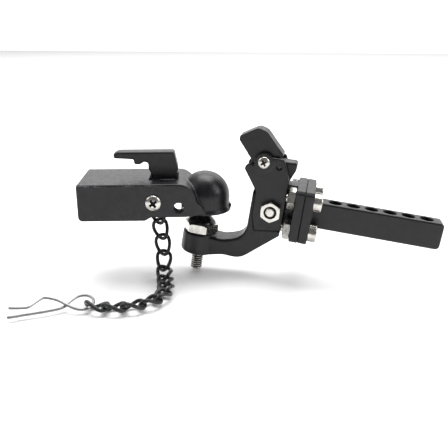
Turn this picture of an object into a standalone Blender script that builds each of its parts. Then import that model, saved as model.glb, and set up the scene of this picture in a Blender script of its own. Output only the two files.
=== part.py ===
"""Scale-model trailer hitch with ball: a receiver shank bolted to a pintle body, a hook arm that carries
the ball, a ball coupler seated on the ball, and the coupler's safety chain with its R-clip.

Lengths below are millimetres. Two frames carry the parts: the hitch frame (x along the shank, z up the
ball's stud) and the coupler frame (x towards the dome, z up). Both have their origin at the ball's centre.
The world's origin is the middle of the shank's end face, and the chain lies on a level surface below.
"""

import math

import bmesh
import bpy
from mathutils import Matrix, Vector

MM = 0.001
WELD = 1e-6
GAP = 0.3

# How the two frames stand
HITCH_PITCH = math.radians(7.5)
COUPLER_YAW = math.radians(12.0)

# Receiver shank
SHANK_HALF_WIDTH = 2.9
SHANK_BOTTOM = -3.4
SHANK_TOP = 4.6
SHANK_END = 70.0
SHANK_HOLE_RADIUS = 1.9
SHANK_HOLE_FIRST = 38.8
SHANK_HOLE_PITCH = 5.28
SHANK_HOLES = 6

# Bolted flanges
FLANGE_HALF_WIDTH = 8.6
FLANGE_BOTTOM = -7.1
FLANGE_TOP = 8.5
FLANGE_THICK = 2.4
FLANGE_JOINT = 29.7
SCREW_Y = 5.9
SCREW_Z = (-3.9, 5.3)
M3_RADIUS = 1.45
M3_HOLE = 1.65
M3_NUT_FLATS = 5.5
M3_NUT_THICK = 2.1
CAP_RADIUS = 2.5
CAP_HEIGHT = 2.5

# Pintle body and hook arm
CHEEK_INNER = 3.2
CHEEK_OUTER = 4.5
CHEEK_BACK = 24.4
RIB_HALF_WIDTH = 2.5
ARM_HALF_WIDTH = 4.0
TONGUE_HALF_WIDTH = 2.9
BOSS_RADIUS = 5.3
BOSS_TOP = -11.4
BOSS_BOTTOM = -18.1
ARM_BOLT = (20.7, 0.1)
JAW_PIVOT = (16.6, 14.0)
JAW_HALF_WIDTH = 2.9
JAW_HEAD_HALF_WIDTH = 4.2
JAW_LOBE_RADIUS = 2.8
TRIGGER_PIVOT = (21.1, 13.4)
TRIGGER_HALF_WIDTH = 2.6
TRIGGER_PIN_RADIUS = 0.7

# Ball and its stud
BALL_RADIUS = 5.5
NECK_RADIUS = 2.2
COLLAR_RADIUS = 4.3
HEX_RADIUS = 5.4
HEX_TOP = -8.7
HEX_BOTTOM = -11.1
HEX_TURN = math.radians(-4.0)
STUD_RADIUS = 1.9
STUD_TIP = -24.2

# Coupler
SHELL_END = -36.7
SHELL_HALF_WIDTH = 10.2
SHELL_TOP = 6.0
SHELL_BOTTOM = -4.9
SKIRT_BOTTOM = -3.9
SHELL_WALL = 2.0
DOME_RADIUS = 7.5
SOCKET_RADIUS = 6.3
SEAT_INNER = 5.7
SEAT_OUTER = 6.05
CROSS_SCREW = (-14.9, 0.6)
CROSS_HEAD_RADIUS = 2.4
CROSS_RADIUS = 1.2
CROSS_NUT_FLATS = 5.0
LEVER_PIVOT = (-9.6, 7.8)
LEVER_HALF_WIDTH = 2.2
LEVER_PIN_RADIUS = 0.8
LUG_HALF_WIDTH = 1.0

# Chain and clip
CHAIN_WIRE = 0.55
LINK_HALF_LENGTH = 3.15
LINK_HALF_WIDTH = 2.2
LINK_TWIST = 0.85
LINK_PITCH = 5.0
LINKS = 13
CLIP_WIRE = 0.4

SURFACE_Z = -24.0


def hitch_axes():
    return Matrix.Rotation(HITCH_PITCH, 4, "Y")


SHANK_MIDDLE_Z = (SHANK_TOP + SHANK_BOTTOM) / 2
BALL_CENTRE = -(hitch_axes() @ Vector((SHANK_END, 0, SHANK_MIDDLE_Z)))


# ---------------------------------------------------------------- scene, frames and materials


def clear_scene():
    for o in list(bpy.data.objects):
        bpy.data.objects.remove(o)


def collection(name):
    found = bpy.data.collections.new(name)
    bpy.context.scene.collection.children.link(found)
    return found


clear_scene()
PARTS = collection("trailer_hitch_with_ball")
CUTTERS = collection("cutters")


def frame(name, rotation):
    empty = bpy.data.objects.new(name, None)
    empty.location = BALL_CENTRE * MM
    empty.rotation_euler = rotation
    PARTS.objects.link(empty)
    return empty


HITCH = frame("hitch_frame", (0, HITCH_PITCH, 0))
COUPLER = frame("coupler_frame", (0, 0, COUPLER_YAW))
LEVEL = frame("level_frame", (0, 0, 0))


def material(name, colour, roughness, metallic):
    made = bpy.data.materials.new(name)
    made.use_nodes = True
    shader = made.node_tree.nodes["Principled BSDF"]
    shader.inputs["Base Color"].default_value = (*colour, 1)
    shader.inputs["Roughness"].default_value = roughness
    shader.inputs["Metallic"].default_value = metallic
    return made


BLACK_PAINT = ((0.022, 0.022, 0.025), 0.45, 0.1)
BRIGHT_STEEL = ((0.62, 0.6, 0.57), 0.25, 1.0)
BLACK_STEEL = ((0.012, 0.012, 0.013), 0.3, 0.6)
DARK_NYLON = ((0.03, 0.03, 0.03), 0.6, 0.0)


# ---------------------------------------------------------------- building shapes


def add(name, mesh, parent, origin=(0, 0, 0), look=None):
    """An object of a mesh given in its parent's millimetres, with its own origin at origin."""
    origin = Vector(origin)
    mesh.transform(Matrix.Scale(MM, 4) @ Matrix.Translation(-origin))
    mesh.update()
    obj = bpy.data.objects.new(name, mesh)
    obj.parent = parent
    obj.location = origin * MM
    if look:
        PARTS.objects.link(obj)
        obj.data.materials.append(material(name, *look))
    else:
        CUTTERS.objects.link(obj)
        obj.hide_render = True
        obj.display_type = "WIRE"
    return obj


def boolean(target, operation, other):
    modifier = target.modifiers.new(other.name, "BOOLEAN")
    modifier.operation = operation
    modifier.object = other
    return target


def cut(target, *others):
    for other in others:
        boolean(target, "DIFFERENCE", other)
    return target


def join(target, *others):
    for other in others:
        boolean(target, "UNION", other)
    return target


def smooth(obj, angle=35):
    obj.data.shade_smooth()
    obj.data.set_sharp_from_angle(angle=math.radians(angle))
    return obj


def box_mesh(low, high):
    low, high = Vector(low), Vector(high)
    mesh = bpy.data.meshes.new("box")
    bm = bmesh.new()
    place = Matrix.Translation((low + high) / 2) @ Matrix.Diagonal((*(high - low), 1))
    bmesh.ops.create_cube(bm, size=1, matrix=place)
    bm.to_mesh(mesh)
    bm.free()
    return mesh


def rod_mesh(start, end, radius, segments=20, radius_end=None, turn=0.0):
    start, end = Vector(start), Vector(end)
    mesh = bpy.data.meshes.new("rod")
    bm = bmesh.new()
    aim = (end - start).to_track_quat("Z", "Y").to_matrix().to_4x4()
    place = Matrix.Translation((start + end) / 2) @ aim @ Matrix.Rotation(turn, 4, "Z")
    bmesh.ops.create_cone(
        bm,
        cap_ends=True,
        segments=segments,
        radius1=radius,
        radius2=radius if radius_end is None else radius_end,
        depth=(end - start).length,
        matrix=place,
    )
    bm.to_mesh(mesh)
    bm.free()
    return mesh


def filleted(corners, step=math.radians(20)):
    """The outline's points, from corners (u, v, radius) in order, with an arc at each corner."""
    points = []
    for i, (u, v, radius) in enumerate(corners):
        here = Vector((u, v))
        back = (Vector(corners[i - 1][:2]) - here).normalized()
        ahead = (Vector(corners[(i + 1) % len(corners)][:2]) - here).normalized()
        half = back.angle(ahead) / 2
        if radius == 0 or half > math.radians(88):
            points.append(here)
            continue
        reach = radius / math.tan(half)
        centre = here + (back + ahead).normalized() * (radius / math.sin(half))
        first = here + back * reach - centre
        last = here + ahead * reach - centre
        sweep = first.angle_signed(last)
        count = max(2, math.ceil(abs(sweep) / step))
        for k in range(count + 1):
            spin = -sweep * k / count
            arm = Matrix.Rotation(spin, 2) @ first
            points.append(centre + arm)
    return points


def outline_mesh(points, depth):
    """A flat outline given depth on both sides of its plane, from a 2D curve."""
    curve = bpy.data.curves.new("outline", "CURVE")
    curve.dimensions = "2D"
    curve.fill_mode = "BOTH"
    curve.extrude = depth
    spline = curve.splines.new("POLY")
    spline.points.add(len(points) - 1)
    for point, place in zip(spline.points, points):
        point.co = (place[0], place[1], 0, 1)
    spline.use_cyclic_u = True
    return curve_mesh(curve)


def curve_mesh(curve):
    """A curve's surface as one welded mesh."""
    holder = bpy.data.objects.new("curve", curve)
    CUTTERS.objects.link(holder)
    graph = bpy.context.evaluated_depsgraph_get()
    mesh = bpy.data.meshes.new_from_object(holder.evaluated_get(graph))
    bpy.data.objects.remove(holder)
    bm = bmesh.new()
    bm.from_mesh(mesh)
    bmesh.ops.remove_doubles(bm, verts=bm.verts, dist=1e-4)
    bmesh.ops.recalc_face_normals(bm, faces=bm.faces)
    bm.to_mesh(mesh)
    bm.free()
    return mesh


def side_plate(points, low, high):
    """An outline in x and z, from y = low to y = high."""
    mesh = outline_mesh(points, (high - low) / 2)
    mesh.transform(Matrix.Translation((0, (low + high) / 2, 0)) @ Matrix.Rotation(math.pi / 2, 4, "X"))
    return mesh


def plan_plate(points, low, high):
    """An outline in x and y, from z = low to z = high."""
    mesh = outline_mesh(points, (high - low) / 2)
    mesh.transform(Matrix.Translation((0, 0, (low + high) / 2)))
    return mesh


def turned(name, profile, parent, steps=32, look=None):
    """A profile of (radius, height), top to bottom on its outer side, turned about z by a Screw modifier."""
    mesh = bpy.data.meshes.new(name)
    mesh.from_pydata([(r, 0, z) for r, z in profile], [(i, i + 1) for i in range(len(profile) - 1)], [])
    obj = add(name, mesh, parent, look=look)
    screw = obj.modifiers.new("turn", "SCREW")
    screw.steps = steps
    screw.render_steps = steps
    screw.use_merge_vertices = True
    screw.merge_threshold = WELD
    return obj


def arc(radius, start, end, count):
    """Points (radius, height) on a circle about the origin, from one latitude to another."""
    for k in range(count + 1):
        angle = math.radians(start + (end - start) * k / count)
        yield radius * math.cos(angle), radius * math.sin(angle)


def wire_mesh(points, radius, closed=False):
    """A round wire along points."""
    curve = bpy.data.curves.new("wire", "CURVE")
    curve.dimensions = "3D"
    curve.bevel_depth = radius
    curve.bevel_resolution = 2
    curve.use_fill_caps = not closed
    spline = curve.splines.new("POLY")
    spline.points.add(len(points) - 1)
    for point, place in zip(spline.points, points):
        point.co = (*place, 1)
    spline.use_cyclic_u = closed
    return curve_mesh(curve)


def smooth_route(points, step):
    """Points a straight step apart on the Catmull-Rom curve through points."""
    points = [Vector(p) for p in points]
    padded = [2 * points[0] - points[1], *points, 2 * points[-1] - points[-2]]
    spaced = [points[0]]
    for a, b, c, d in zip(padded, padded[1:], padded[2:], padded[3:]):
        for k in range(201):
            t = k / 200
            square, cube = t * t, t * t * t
            place = 2 * b + (c - a) * t + (2 * a - 5 * b + 4 * c - d) * square + (3 * b - a - 3 * c + d) * cube
            if (place / 2 - spaced[-1]).length >= step:
                spaced.append(place / 2)
    return spaced


# ---------------------------------------------------------------- hitch: shank, body, arm


def flange(name, low, high, look=None):
    """One flange plate with its corners cut back."""
    corner = 1.0
    top, bottom, side = FLANGE_TOP, FLANGE_BOTTOM, FLANGE_HALF_WIDTH
    points = [
        (-side + corner, bottom),
        (side - corner, bottom),
        (side, bottom + corner),
        (side, top - corner),
        (side - corner, top),
        (-side + corner, top),
        (-side, top - corner),
        (-side, bottom + corner),
    ]
    mesh = outline_mesh(points, (high - low) / 2)
    stand = Matrix.Rotation(math.pi / 2, 4, "Z") @ Matrix.Rotation(math.pi / 2, 4, "X")
    mesh.transform(Matrix.Translation(((low + high) / 2, 0, 0)) @ stand)
    return add(name, mesh, HITCH, look=look)


def screw_places():
    for y in (-SCREW_Y, SCREW_Y):
        for z in SCREW_Z:
            yield y, z


def flange_holes(low, high):
    for n, (y, z) in enumerate(screw_places(), 1):
        mesh = rod_mesh((low, y, z), (high, y, z), M3_HOLE)
        yield add(f"flange_hole_{low:.0f}_{n}", mesh, HITCH)


def receiver_shank():
    front = FLANGE_JOINT + GAP
    back = front + FLANGE_THICK
    plate = flange("receiver_shank", front, back, BLACK_PAINT)
    bar_outline = filleted(
        [
            (back - 1, SHANK_BOTTOM, 0),
            (SHANK_END, SHANK_BOTTOM, 1.2),
            (SHANK_END, SHANK_TOP, 1.2),
            (back - 1, SHANK_TOP, 0),
        ]
    )
    bar = add("shank_bar", side_plate(bar_outline, -SHANK_HALF_WIDTH, SHANK_HALF_WIDTH), HITCH)
    join(plate, bar)
    for n in range(SHANK_HOLES):
        x = SHANK_HOLE_FIRST + n * SHANK_HOLE_PITCH
        hole = rod_mesh((x, 0, SHANK_BOTTOM - 1), (x, 0, SHANK_TOP + 1), SHANK_HOLE_RADIUS)
        cut(plate, add(f"shank_hole_{n + 1}", hole, HITCH))
    cut(plate, *flange_holes(front - 1, back + 1))


def cheek_outline():
    return filleted(
        [
            (11.3, 11.3, 0.5),
            (15.4, 5.2, 1.0),
            (15.4, -2.5, 2.0),
            (16.6, -6.7, 0.4),
            (CHEEK_BACK, -5.6, 0.4),
            (CHEEK_BACK, 9.4, 0.8),
            (23.3, 13.4, 1.0),
            (22.2, 15.5, 0.8),
            (19.0, 15.5, 0.5),
            (16.6, 12.4, 0.5),
            (14.0, 11.8, 0.5),
            (12.2, 12.7, 0.4),
        ]
    )


def pintle_body():
    plate = flange("pintle_body", FLANGE_JOINT - FLANGE_THICK, FLANGE_JOINT, BLACK_PAINT)
    rib_low = (CHEEK_BACK - 1, -RIB_HALF_WIDTH, -5.2)
    rib_high = (FLANGE_JOINT - 1, RIB_HALF_WIDTH, FLANGE_TOP - 0.2)
    wall_low = (CHEEK_BACK - 1.5, -CHEEK_INNER - 0.5, -5.0)
    wall_high = (CHEEK_BACK - 0.1, CHEEK_INNER + 0.5, 8.6)
    join(plate, add("body_rib", box_mesh(rib_low, rib_high), HITCH))
    join(plate, add("body_wall", box_mesh(wall_low, wall_high), HITCH))
    x, z = JAW_PIVOT
    for side, name in ((-1, "front"), (1, "back")):
        low, high = sorted((side * CHEEK_INNER, side * CHEEK_OUTER))
        join(plate, add(f"cheek_{name}", side_plate(cheek_outline(), low, high), HITCH))
        lobe = rod_mesh((x, side * CHEEK_INNER, z), (x, side * (CHEEK_OUTER + 0.2), z), JAW_LOBE_RADIUS, 28)
        join(plate, add(f"cheek_lobe_{name}", lobe, HITCH))
    cut(plate, *flange_holes(FLANGE_JOINT - FLANGE_THICK - 1, FLANGE_JOINT + 1))
    for place, radius, name in (
        (ARM_BOLT, M3_HOLE, "arm_bolt"),
        (JAW_PIVOT, 1.3, "jaw_pivot"),
        (TRIGGER_PIVOT, TRIGGER_PIN_RADIUS + 0.2, "trigger_pin"),
    ):
        hole = rod_mesh((place[0], -9, place[1]), (place[0], 9, place[1]), radius)
        cut(plate, add(f"{name}_hole", hole, HITCH))


def hook_arm():
    arm_outline = filleted(
        [
            (0, BOSS_TOP - 0.1, 0),
            (7.5, -11.9, 4.0),
            (14.3, -9.9, 5.0),
            (14.6, 4.9, 0),
            (15.1, 4.9, 0),
            (15.1, -2.4, 2.0),
            (16.3, -7.1, 0.3),
            (CHEEK_BACK - 0.1, -6.0, 0.2),
            (CHEEK_BACK - 0.1, -7.6, 0.3),
            (14.6, -16.7, 5.0),
            (8.0, -16.6, 6.0),
            (4.0, -17.4, 3.0),
            (0, -17.6, 0),
        ]
    )
    tongue_outline = filleted(
        [
            (12.0, 11.2, 0.2),
            (11.5, 10.7, 0.3),
            (14.8, 5.6, 0.3),
            (14.8, -5.0, 0),
            (16.6, -8.4, 0),
            (22.6, -7.2, 0),
            (22.6, 8.4, 0.5),
            (15.9, 8.7, 1.0),
            (13.6, 9.9, 1.0),
            (12.6, 11.2, 0.2),
        ]
    )
    arm = add("hook_arm", side_plate(arm_outline, -ARM_HALF_WIDTH, ARM_HALF_WIDTH), HITCH, look=BLACK_PAINT)
    tongue = side_plate(tongue_outline, -TONGUE_HALF_WIDTH, TONGUE_HALF_WIDTH)
    boss = rod_mesh((0, 0, BOSS_BOTTOM), (0, 0, BOSS_TOP), BOSS_RADIUS, 36)
    stud_hole = rod_mesh((0, 0, BOSS_BOTTOM - 1), (0, 0, BOSS_TOP + 1), STUD_RADIUS + GAP)
    bolt_hole = rod_mesh((ARM_BOLT[0], -9, ARM_BOLT[1]), (ARM_BOLT[0], 9, ARM_BOLT[1]), M3_HOLE)
    join(arm, add("arm_tongue", tongue, HITCH), add("ball_boss", boss, HITCH))
    cut(arm, add("stud_hole", stud_hole, HITCH), add("arm_hole", bolt_hole, HITCH))


def upper_jaw():
    """The jaw's root sits between the cheeks, and its wide head follows their top edges at a small gap."""
    root_outline = filleted(
        [
            (8.4, 19.2, 1.0),
            (12.5, 14.0, 0.5),
            (12.7, 12.4, 1.0),
            (15.0, 10.3, 1.0),
            (18.2, 10.8, 1.2),
            (19.7, 13.4, 1.0),
            (19.7, 15.9, 0.4),
            (22.2, 16.1, 0.4),
            (15.8, 23.0, 3.0),
            (12.6, 23.1, 2.5),
            (7.6, 20.0, 1.0),
        ]
    )
    head_outline = filleted(
        [
            (8.2, 19.0, 1.0),
            (12.4, 14.1, 0.5),
            (13.0, 13.2, 0.2),
            (16.6, 13.0, 0),
            (19.0, 16.1, 0),
            (22.4, 16.1, 0.4),
            (15.8, 23.2, 3.0),
            (12.6, 23.3, 2.5),
            (7.4, 20.0, 1.0),
        ]
    )
    x, z = JAW_PIVOT
    mesh = side_plate(head_outline, -JAW_HEAD_HALF_WIDTH, JAW_HEAD_HALF_WIDTH)
    jaw = add("upper_jaw", mesh, HITCH, origin=(x, 0, z), look=BLACK_PAINT)
    for side, name in ((-1, "front"), (1, "back")):
        around = rod_mesh((x, side * 2.9, z), (x, side * 6, z), JAW_LOBE_RADIUS + GAP, 28)
        cut(jaw, add(f"jaw_clearance_{name}", around, HITCH))
    join(jaw, add("jaw_root", side_plate(root_outline, -JAW_HALF_WIDTH, JAW_HALF_WIDTH), HITCH))
    cut(jaw, add("jaw_bore", rod_mesh((x, -9, z), (x, 9, z), 1.3), HITCH))


def jaw_trigger():
    x, z = TRIGGER_PIVOT
    outline = filleted(
        [
            (x - 1.1, z - 1.2, 0.9),
            (22.3, 9.5, 0.5),
            (24.5, 9.1, 0.4),
            (25.9, 12.4, 1.0),
            (26.3, 15.1, 1.0),
            (24.0, 14.8, 0.5),
            (x - 1.1, z + 1.4, 0.9),
        ]
    )
    mesh = side_plate(outline, -TRIGGER_HALF_WIDTH, TRIGGER_HALF_WIDTH)
    trigger = add("jaw_trigger", mesh, HITCH, origin=(x, 0, z), look=BLACK_PAINT)
    cut(trigger, add("trigger_bore", rod_mesh((x, -9, z), (x, 9, z), TRIGGER_PIN_RADIUS + 0.2), HITCH))
    reach = CHEEK_OUTER - 0.7
    pin = rod_mesh((x, -reach, z), (x, reach, z), TRIGGER_PIN_RADIUS)
    add("trigger_pin", pin, HITCH, look=BLACK_STEEL)


# ---------------------------------------------------------------- fasteners


def headed_rod(name, parent, start, end, radius, head_radius, head_height, look):
    """A screw: its shaft runs from start to end, and its head stands out behind start."""
    start, end = Vector(start), Vector(end)
    back = (start - end).normalized() * head_height
    screw = add(name, rod_mesh(start + back, start, head_radius, 24), parent, look=look)
    join(screw, add(f"{name}_shaft", rod_mesh(start + back / 2, end, radius), parent))
    return smooth(screw)


def hex_nut(name, parent, start, end, hole, look, turn=0.0, flats=M3_NUT_FLATS):
    nut = add(name, rod_mesh(start, end, flats / math.sqrt(3), 6, turn=turn), parent, look=look)
    along = (Vector(end) - Vector(start)).normalized()
    bore = rod_mesh(Vector(start) - along, Vector(end) + along, hole)
    return cut(nut, add(f"{name}_bore", bore, parent))


def flange_fasteners():
    head = FLANGE_JOINT + GAP + FLANGE_THICK + 0.05
    nut = FLANGE_JOINT - FLANGE_THICK - 0.1
    for n, (y, z) in enumerate(screw_places(), 1):
        tip = nut - M3_NUT_THICK - 0.4
        headed_rod(
            f"flange_screw_{n}", HITCH, (head, y, z), (tip, y, z), M3_RADIUS, CAP_RADIUS, CAP_HEIGHT, BRIGHT_STEEL
        )
        far = nut - M3_NUT_THICK
        hex_nut(f"flange_nut_{n}", HITCH, (far, y, z), (nut, y, z), M3_RADIUS + 0.1, BRIGHT_STEEL)


def body_fasteners():
    x, z = ARM_BOLT
    out = CHEEK_OUTER + 0.05
    tip = out + M3_NUT_THICK + 0.4
    headed_rod("arm_bolt", HITCH, (x, out, z), (x, -tip, z), M3_RADIUS, CAP_RADIUS, CAP_HEIGHT, BRIGHT_STEEL)
    hex_nut("arm_nut", HITCH, (x, -out - M3_NUT_THICK, z), (x, -out, z), M3_RADIUS + 0.1, BRIGHT_STEEL, math.pi / 6)
    x, z = JAW_PIVOT
    out = CHEEK_OUTER + 0.25
    headed_rod("jaw_pivot_screw", HITCH, (x, -out, z), (x, out + 2.4, z), 1.0, 1.8, 1.1, BRIGHT_STEEL)
    hex_nut("jaw_pivot_nut", HITCH, (x, out, z), (x, out + 2.0, z), 1.1, BRIGHT_STEEL, math.pi / 6)


# ---------------------------------------------------------------- ball


def ball_stud():
    neck_latitude = -math.degrees(math.acos(NECK_RADIUS / BALL_RADIUS))
    profile = [
        *arc(BALL_RADIUS, 90, neck_latitude, 16),
        (NECK_RADIUS, -6.9),
        (COLLAR_RADIUS, -8.2),
        (COLLAR_RADIUS, HEX_TOP - 0.5),
        (STUD_RADIUS, HEX_TOP - 1.0),
        (STUD_RADIUS, STUD_TIP + 0.5),
        (STUD_RADIUS - 0.5, STUD_TIP),
        (0, STUD_TIP),
    ]
    stud = turned("ball_stud", profile, HITCH, 36, BRIGHT_STEEL)
    hexagon = rod_mesh((0, 0, HEX_BOTTOM), (0, 0, HEX_TOP), HEX_RADIUS, 6, turn=HEX_TURN)
    join(stud, add("stud_hexagon", hexagon, HITCH))


def ball_seat():
    profile = [*arc(SEAT_OUTER, 90, 0, 10), *reversed(list(arc(SEAT_INNER, 90, 0, 10)))]
    turned("ball_seat", profile, COUPLER, 32, DARK_NYLON)


# ---------------------------------------------------------------- coupler


def coupler_shell():
    wide = SHELL_HALF_WIDTH
    near = [(SHELL_END, -wide), (-7.0, -wide), (-4.0, -wide + 0.6), (-1.5, -wide + 1.6), (0.0, -DOME_RADIUS - 0.2)]
    plan = [*near, *((x, -y) for x, y in reversed(near))]
    shell = add("coupler_shell", plan_plate(plan, SHELL_BOTTOM, SHELL_TOP), COUPLER, look=BLACK_PAINT)
    side = filleted(
        [
            (SHELL_END - 1, SHELL_BOTTOM - 1, 0),
            (-17.0, SHELL_BOTTOM - 1, 0),
            (-17.0, SHELL_BOTTOM, 0),
            (-15.6, SKIRT_BOTTOM, 0.8),
            (-2.5, SKIRT_BOTTOM, 0.4),
            (-2.7, SHELL_TOP, 5.6),
            (-9.0, SHELL_TOP + 0.1, 0),
            (-13.0, SHELL_TOP + 0.2, 0),
            (SHELL_END - 1, SHELL_TOP + 0.2, 0),
        ]
    )
    boolean(shell, "INTERSECT", add("shell_side", side_plate(side, -12, 12), COUPLER))
    dome = [*arc(DOME_RADIUS, 90, 0, 14), (DOME_RADIUS, SKIRT_BOTTOM + 0.1), (0, SKIRT_BOTTOM + 0.1)]
    join(shell, turned("dome", dome, COUPLER, 36))
    x, z = LEVER_PIVOT
    lug = box_mesh((x - 1.4, -LUG_HALF_WIDTH, SHELL_TOP - 1), (x + 1.3, LUG_HALF_WIDTH, z + 1.2))
    join(shell, add("lever_lug", lug, COUPLER))
    inner = SHELL_HALF_WIDTH - SHELL_WALL
    cut(shell, add("channel", box_mesh((SHELL_END - 2, -inner, -9), (-5.9, inner, SHELL_TOP - 1.6)), COUPLER))
    cut(shell, add("clamp_way", box_mesh((-7, -3.3, -9), (-4, 3.3, -2.1)), COUPLER))
    socket = [*arc(SOCKET_RADIUS, 90, 0, 12), (SOCKET_RADIUS, -9), (0, -9)]
    cut(shell, turned("socket", socket, COUPLER, 32))
    cut(shell, add("lever_pin_hole", rod_mesh((x, -9, z), (x, 9, z), LEVER_PIN_RADIUS + 0.2), COUPLER))
    x, z = CROSS_SCREW
    cut(shell, add("cross_hole", rod_mesh((x, -12, z), (x, 12, z), CROSS_RADIUS + GAP), COUPLER))
    slot = filleted([(-9.0, -2.2, 1.1), (-6.3, -2.2, 1.1), (-6.3, 0.4, 1.1), (-9.0, 0.4, 1.1)])
    cut(shell, add("lock_hole", side_plate(slot, -12, 12), COUPLER))


def latch_lever():
    x, z = LEVER_PIVOT
    outline = filleted(
        [
            (-26.6, 11.9, 0.4),
            (-20.8, 11.5, 0.1),
            (-20.6, 10.1, 0.5),
            (-19.0, 10.1, 0.5),
            (-17.9, 10.7, 0.5),
            (-16.6, 10.4, 0.6),
            (-16.6, 8.6, 0.4),
            (-15.9, 7.4, 0.3),
            (-15.9, SHELL_TOP + GAP, 0.2),
            (x + 1.0, SHELL_TOP + GAP, 1.2),
            (-7.9, 8.8, 1.0),
            (-8.9, 13.7, 0.8),
            (-25.6, 13.6, 1.2),
        ]
    )
    mesh = side_plate(outline, -LEVER_HALF_WIDTH, LEVER_HALF_WIDTH)
    lever = add("latch_lever", mesh, COUPLER, origin=(x, 0, z), look=BLACK_PAINT)
    slot = box_mesh((x - 2.6, -LUG_HALF_WIDTH - GAP, 5), (x + 4, LUG_HALF_WIDTH + GAP, z + 2.6))
    bore = rod_mesh((x, -9, z), (x, 9, z), LEVER_PIN_RADIUS + 0.2)
    cut(lever, add("lever_slot", slot, COUPLER), add("lever_bore", bore, COUPLER))
    reach = LEVER_HALF_WIDTH - 0.15
    add("lever_pin", rod_mesh((x, -reach, z), (x, reach, z), LEVER_PIN_RADIUS), COUPLER, look=BLACK_STEEL)


def ball_clamp():
    """The tongue that closes under the ball, with its front edge curved about the stud."""
    tongue = box_mesh((-7.2, -3.0, -3.6), (-4.2, 3.0, -2.4))
    clamp = add("ball_clamp", tongue, COUPLER, look=BRIGHT_STEEL)
    cut(clamp, add("clamp_curve", rod_mesh((0, 0, -9), (0, 0, 0), SEAT_OUTER, 32), COUPLER))


def cross_screw():
    x, z = CROSS_SCREW
    out = SHELL_HALF_WIDTH + 0.05
    end = out + M3_NUT_THICK + 0.6
    headed_rod(
        "cross_screw", COUPLER, (x, -out, z), (x, end, z), CROSS_RADIUS, CROSS_HEAD_RADIUS, 1.4, BRIGHT_STEEL
    )
    far = (x, out + M3_NUT_THICK, z)
    turn = math.pi / 6
    hex_nut("cross_nut", COUPLER, (x, out, z), far, CROSS_RADIUS + 0.1, BRIGHT_STEEL, turn, CROSS_NUT_FLATS)


# ---------------------------------------------------------------- chain and clip, in the level frame


def chain_route():
    """Where each link meets the next: down from the cross screw, then along the surface to the clip."""
    lying = SURFACE_Z + LINK_TWIST + CHAIN_WIRE + 0.05
    return smooth_route(
        [
            (-14.7, -4.0, 2.1),
            (-14.1, -4.0, -2.8),
            (-13.5, -4.0, -7.7),
            (-12.8, -4.0, -12.5),
            (-12.2, -4.6, -17.3),
            (-11.5, -7.0, -20.9),
            (-10.3, -11.2, lying + 0.1),
            (-8.2, -17.4, lying),
            (-7.0, -22.3, lying),
            (-7.9, -27.2, lying),
            (-11.0, -31.0, lying),
            (-15.4, -33.6, lying),
            (-20.2, -34.6, lying),
            (-26.5, -33.6, lying),
        ],
        LINK_PITCH,
    )


def link_points(count=16):
    """A twisted link about its middle, long along x, with its flat side facing z."""
    for k in range(count):
        angle = 2 * math.pi * k / count
        yield (
            LINK_HALF_LENGTH * math.cos(angle),
            LINK_HALF_WIDTH * math.sin(angle),
            LINK_TWIST * math.sin(2 * angle),
        )


def chain():
    joints = chain_route()[: LINKS + 1]
    across = Vector((1, 0, 0))
    for n, (start, end) in enumerate(zip(joints, joints[1:]), 1):
        here = (start + end) / 2
        along = (end - start).normalized()
        across = (across - along * across.dot(along)).normalized()
        axes = Matrix((along, across, along.cross(across))).transposed().to_4x4()
        mesh = wire_mesh(list(link_points()), CHAIN_WIRE, closed=True)
        mesh.transform(Matrix.Translation(here) @ axes)
        smooth(add(f"chain_link_{n:02d}", mesh, LEVEL, origin=here, look=BLACK_STEEL))


def clip_points():
    """The R-clip in its own plane: bent leg, ring and straight leg, from tip to ring along x."""
    return [
        (0.8, 1.7),
        (4.2, 1.0),
        (5.6, 1.15),
        (8.8, 3.3),
        (10.2, 3.5),
        (13.0, 1.9),
        (15.6, -0.9),
        (17.8, -2.6),
        (20.2, -2.7),
        (22.0, -1.3),
        (22.3, 0.9),
        (21.0, 2.6),
        (18.8, 2.9),
        (16.4, 1.6),
        (14.2, -0.1),
        (10.0, -0.55),
        (5.0, -0.6),
        (0.0, -0.6),
    ]


def r_clip():
    """The clip lies on its straight leg with its ring lifted by the last link."""
    flat = []
    for n, (x, y) in enumerate(clip_points()):
        over = 0.5 if n < 7 else -0.5 if n > 13 else 0.5 - (n - 6) / 8
        flat.append(Vector((x, y, over)))
    points = smooth_route(flat, 0.8)
    tilt = math.radians(20)
    place = (
        Matrix.Translation((-43.8, -43.3, SURFACE_Z + 1.5))
        @ Matrix.Rotation(math.radians(31.5), 4, "Z")
        @ Matrix.Rotation(tilt, 4, "X")
    )
    mesh = wire_mesh(points, CLIP_WIRE)
    mesh.transform(place)
    smooth(add("r_clip", mesh, LEVEL, origin=place.translation, look=BRIGHT_STEEL))


receiver_shank()
pintle_body()
hook_arm()
upper_jaw()
jaw_trigger()
flange_fasteners()
body_fasteners()
ball_stud()
ball_seat()
coupler_shell()
latch_lever()
ball_clamp()
cross_screw()
chain()
r_clip()
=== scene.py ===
"""The finished look of the trailer hitch: cast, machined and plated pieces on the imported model's bodies."""

import math

import bmesh
import bpy
from mathutils import Matrix, Vector


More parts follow.
